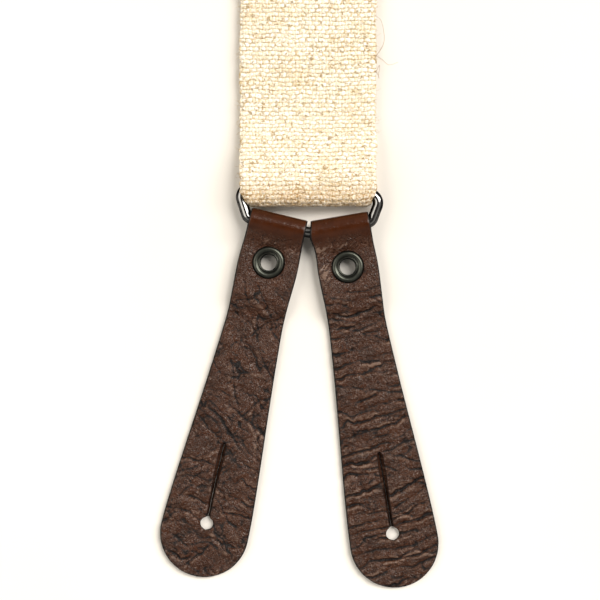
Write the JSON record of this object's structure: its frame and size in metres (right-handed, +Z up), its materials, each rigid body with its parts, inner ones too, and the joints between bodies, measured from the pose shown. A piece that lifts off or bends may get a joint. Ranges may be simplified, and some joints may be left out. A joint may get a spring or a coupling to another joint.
{
  "type": "button-on suspenders",
  "caption": "Y-back suspenders of coarse linen webbing, laid flat: each strap end loops a dark wire ring that carries slit leather button tabs; toothed adjusters on the front straps.",
  "frame": {"origin": "middle of the back patch, on its underside, which lies on the surface z = 0", "axes": "+Y towards the back strap's end, along the centre line; the front straps run towards -Y, 18 degrees to each side; +Z up, away from the wearer; +X to the right seen from above"},
  "size_m": [0.609, 1.0793, 0.01],
  "materials": {
    "webbing": "coarse natural linen plain weave with tan flecks",
    "tab_leather": "dark brown, creased, satin, burnished edges",
    "patch_leather": "dark brown, fine grain, stitched edge",
    "ring_metal": "polished gunmetal plating",
    "eyelet_metal": "antiqued gunmetal, worn lighter on the rims",
    "adjuster_metal": "satin gunmetal plating"
  },
  "bodies": {
    "straps": {"strap_front_left": "webbing", "strap_front_right": "webbing", "strap_back": "webbing", "patch_top": "patch_leather", "patch_bottom": "patch_leather"},
    "ring_front_left": {"ring_front_left": "ring_metal"},
    "tab_front_left_outer": {"tab_front_left_outer": "tab_leather", "eyelet_front_left_outer": "eyelet_metal", "washer_front_left_outer": "eyelet_metal"},
    "tab_front_left_inner": {"tab_front_left_inner": "tab_leather", "eyelet_front_left_inner": "eyelet_metal", "washer_front_left_inner": "eyelet_metal"},
    "ring_front_right": {"ring_front_right": "ring_metal"},
    "tab_front_right_inner": {"tab_front_right_inner": "tab_leather", "eyelet_front_right_inner": "eyelet_metal", "washer_front_right_inner": "eyelet_metal"},
    "tab_front_right_outer": {"tab_front_right_outer": "tab_leather", "eyelet_front_right_outer": "eyelet_metal", "washer_front_right_outer": "eyelet_metal"},
    "ring_back": {"ring_back": "ring_metal"},
    "tab_back_left": {"tab_back_left": "tab_leather", "eyelet_back_left": "eyelet_metal", "washer_back_left": "eyelet_metal"},
    "tab_back_right": {"tab_back_right": "tab_leather", "eyelet_back_right": "eyelet_metal", "washer_back_right": "eyelet_metal"},
    "adjuster_front_left": {"adjuster_frame_front_left": "adjuster_metal", "adjuster_pin_front_left": "adjuster_metal"},
    "lever_front_left": {"adjuster_lever_front_left": "adjuster_metal"},
    "adjuster_front_right": {"adjuster_frame_front_right": "adjuster_metal", "adjuster_pin_front_right": "adjuster_metal"},
    "lever_front_right": {"adjuster_lever_front_right": "adjuster_metal"}
  },
  "joints": [
    {"name": "ring_swing_front_left", "type": "hinge", "parent": "straps", "child": "ring_front_left", "pos_m": [-0.23419, -0.69305, 0.0039], "axis": [-0.9403, 0.3404, 0], "range_deg": [-75, 75]},
    {"name": "tab_swing_front_left_outer", "type": "hinge", "parent": "ring_front_left", "child": "tab_front_left_outer", "pos_m": [-0.2457, -0.6988, 0.0039], "axis": [-0.8536, 0.521, 0], "range_deg": [-75, 75]},
    {"name": "tab_swing_front_left_inner", "type": "hinge", "parent": "ring_front_left", "child": "tab_front_left_inner", "pos_m": [-0.22902, -0.70483, 0.0039], "axis": [-0.9893, 0.1461, 0], "range_deg": [-75, 75]},
    {"name": "ring_swing_front_right", "type": "hinge", "parent": "straps", "child": "ring_front_right", "pos_m": [0.23419, -0.69305, 0.0039], "axis": [-0.9403, -0.3404, 0], "range_deg": [-75, 75]},
    {"name": "tab_swing_front_right_inner", "type": "hinge", "parent": "ring_front_right", "child": "tab_front_right_inner", "pos_m": [0.22902, -0.70483, 0.0039], "axis": [-0.9893, -0.1461, 0], "range_deg": [-75, 75]},
    {"name": "tab_swing_front_right_outer", "type": "hinge", "parent": "ring_front_right", "child": "tab_front_right_outer", "pos_m": [0.2457, -0.6988, 0.0039], "axis": [-0.8536, -0.521, 0], "range_deg": [-75, 75]},
    {"name": "ring_swing_back", "type": "hinge", "parent": "straps", "child": "ring_back", "pos_m": [0, 0.165, 0.0039], "axis": [1, 0, 0], "range_deg": [-75, 75]},
    {"name": "tab_swing_back_left", "type": "hinge", "parent": "ring_back", "child": "tab_back_left", "pos_m": [-0.00887, 0.17432, 0.0039], "axis": [0.9799, 0.1994, 0], "range_deg": [-75, 75]},
    {"name": "tab_swing_back_right", "type": "hinge", "parent": "ring_back", "child": "tab_back_right", "pos_m": [0.00887, 0.17432, 0.0039], "axis": [0.9799, -0.1994, 0], "range_deg": [-75, 75]},
    {"name": "adjuster_slide_front_left", "type": "slide", "parent": "straps", "child": "adjuster_front_left", "axis": [0.309, 0.9511, 0], "range_m": [-0.08, 0.32], "deforming": ["strap_front_left"]},
    {"name": "lever_lift_front_left", "type": "hinge", "parent": "adjuster_front_left", "child": "lever_front_left", "pos_m": [-0.18603, -0.54256, 0.0074], "axis": [-0.9511, 0.309, 0], "range_deg": [0, 70]},
    {"name": "adjuster_slide_front_right", "type": "slide", "parent": "straps", "child": "adjuster_front_right", "axis": [-0.309, 0.9511, 0], "range_m": [-0.08, 0.32], "deforming": ["strap_front_right"]},
    {"name": "lever_lift_front_right", "type": "hinge", "parent": "adjuster_front_right", "child": "lever_front_right", "pos_m": [0.18603, -0.54256, 0.0074], "axis": [-0.9511, -0.309, 0], "range_deg": [0, 70]}
  ]
}
